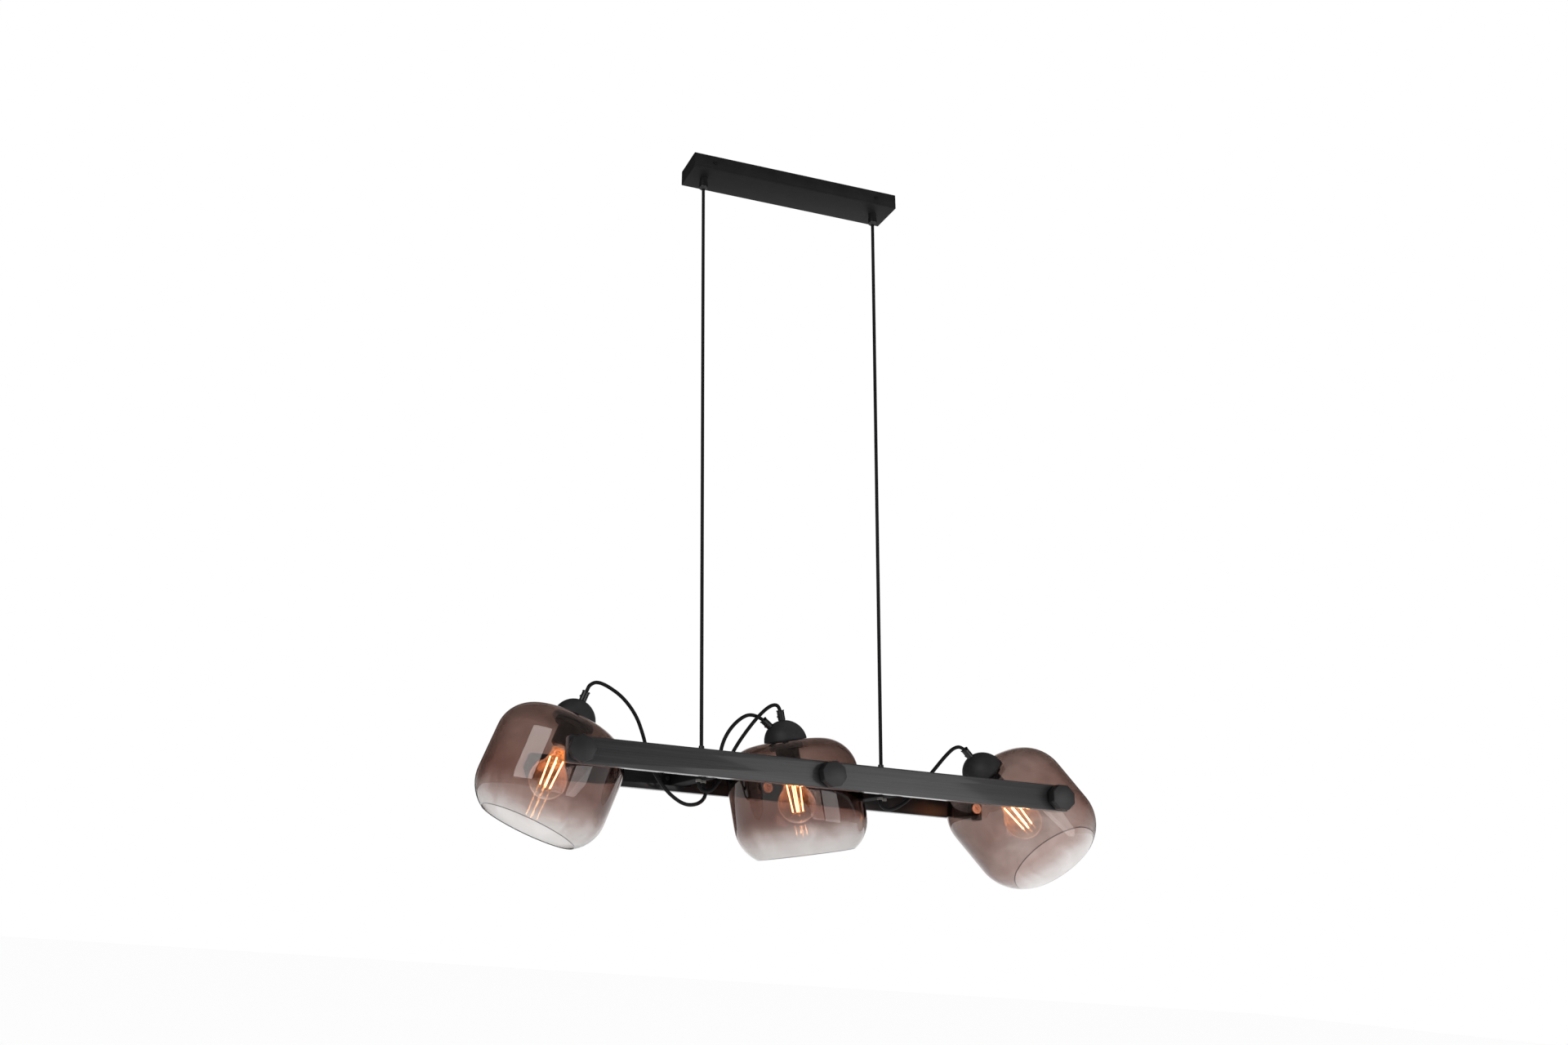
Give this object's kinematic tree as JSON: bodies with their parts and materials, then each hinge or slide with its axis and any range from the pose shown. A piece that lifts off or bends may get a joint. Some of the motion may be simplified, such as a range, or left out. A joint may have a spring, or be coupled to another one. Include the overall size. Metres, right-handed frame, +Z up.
{
  "type": "linear island pendant light",
  "caption": "Linear island pendant: smoked glass shades tilt on knobbed pivots between two long black bars, hung on cords from a slim ceiling canopy.",
  "frame": {"origin": "middle of the canopy's top, on the ceiling", "axes": "+X along the bars, to the right in the picture; +Y towards the back bar; +Z up"},
  "size_m": [1.0627, 0.292, 1.2814],
  "materials": {
    "black_metal": "satin black",
    "zinc_steel": "zinc plated",
    "black_screws": "black oxide",
    "white_plastic": "matt",
    "brass_screws": "bright",
    "black_plastic": "glossy black",
    "pale_plastic": "natural nylon",
    "cord": "smooth black sheath",
    "black_wood": "black stain, fine grain",
    "rubber_black": "matt",
    "smoked_glass": "smoked, fading to the mouth",
    "holder_plastic": "matt black",
    "clear_glass": "clear",
    "cap_metal": "plain",
    "filament": "lit filaments on a glass stem",
    "copper_bolt": "copper plated"
  },
  "bodies": {
    "canopy": {"canopy_shell": "black_metal", "mounting_bracket": "zinc_steel", "canopy_side_screws": "black_screws", "terminal_block": "white_plastic", "terminal_screws": "brass_screws", "canopy_cord_grips": "black_plastic", "canopy_grip_nuts": "black_plastic", "canopy_leads": "cord"},
    "frame": {"front_bar": "black_wood", "back_bar": "black_wood", "crossbar_left": "black_metal", "crossbar_right": "black_metal", "crossbar_screws": "black_screws", "suspension_grips": "black_plastic", "outlet_nipples": "pale_plastic", "crossbar_grommet": "rubber_black", "crossbar_splices": "white_plastic", "suspension_cord_left": "cord", "suspension_cord_right": "cord", "cable_left": "cord", "cable_middle": "cord", "cable_link": "cord", "cable_right": "cord"},
    "head_left": {"left_glass_shade": "smoked_glass", "left_shade_gasket": "rubber_black", "left_dome_cap": "black_metal", "left_cord_grip": "black_plastic", "left_lampholder": "holder_plastic", "left_shade_ring": "holder_plastic", "left_bulb_glass": "clear_glass", "left_bulb_cap": "cap_metal", "left_bulb_filaments": "filament", "left_pivot_washers": "rubber_black", "left_pivot_bolts": "copper_bolt", "left_knobs": "black_metal"},
    "head_middle": {"middle_glass_shade": "smoked_glass", "middle_shade_gasket": "rubber_black", "middle_dome_cap": "black_metal", "middle_cord_grip": "black_plastic", "middle_lampholder": "holder_plastic", "middle_shade_ring": "holder_plastic", "middle_bulb_glass": "clear_glass", "middle_bulb_cap": "cap_metal", "middle_bulb_filaments": "filament", "middle_pivot_washers": "rubber_black", "middle_pivot_bolts": "copper_bolt", "middle_knobs": "black_metal"},
    "head_right": {"right_glass_shade": "smoked_glass", "right_shade_gasket": "rubber_black", "right_dome_cap": "black_metal", "right_cord_grip": "black_plastic", "right_lampholder": "holder_plastic", "right_shade_ring": "holder_plastic", "right_bulb_glass": "clear_glass", "right_bulb_cap": "cap_metal", "right_bulb_filaments": "filament", "right_pivot_washers": "rubber_black", "right_pivot_bolts": "copper_bolt", "right_knobs": "black_metal"}
  },
  "joints": [
    {"name": "frame_swing", "type": "hinge", "parent": "canopy", "child": "frame", "pos_m": [0, 0, -0.054], "axis": [1, 0, 0], "range_deg": [-15, 15], "deforming": ["suspension_cord_left", "suspension_cord_right"]},
    {"name": "tilt_left", "type": "hinge", "parent": "frame", "child": "head_left", "pos_m": [-0.4, 0, -1.144], "axis": [0, -1, 0], "range_deg": [-29, 71], "deforming": ["cable_left"]},
    {"name": "tilt_middle", "type": "hinge", "parent": "frame", "child": "head_middle", "pos_m": [0, 0, -1.144], "axis": [0, -1, 0], "range_deg": [-61, 39], "deforming": ["cable_middle", "cable_link"]},
    {"name": "tilt_right", "type": "hinge", "parent": "frame", "child": "head_right", "pos_m": [0.4, 0, -1.144], "axis": [0, -1, 0], "range_deg": [-94, 6], "deforming": ["cable_right"]}
  ]
}
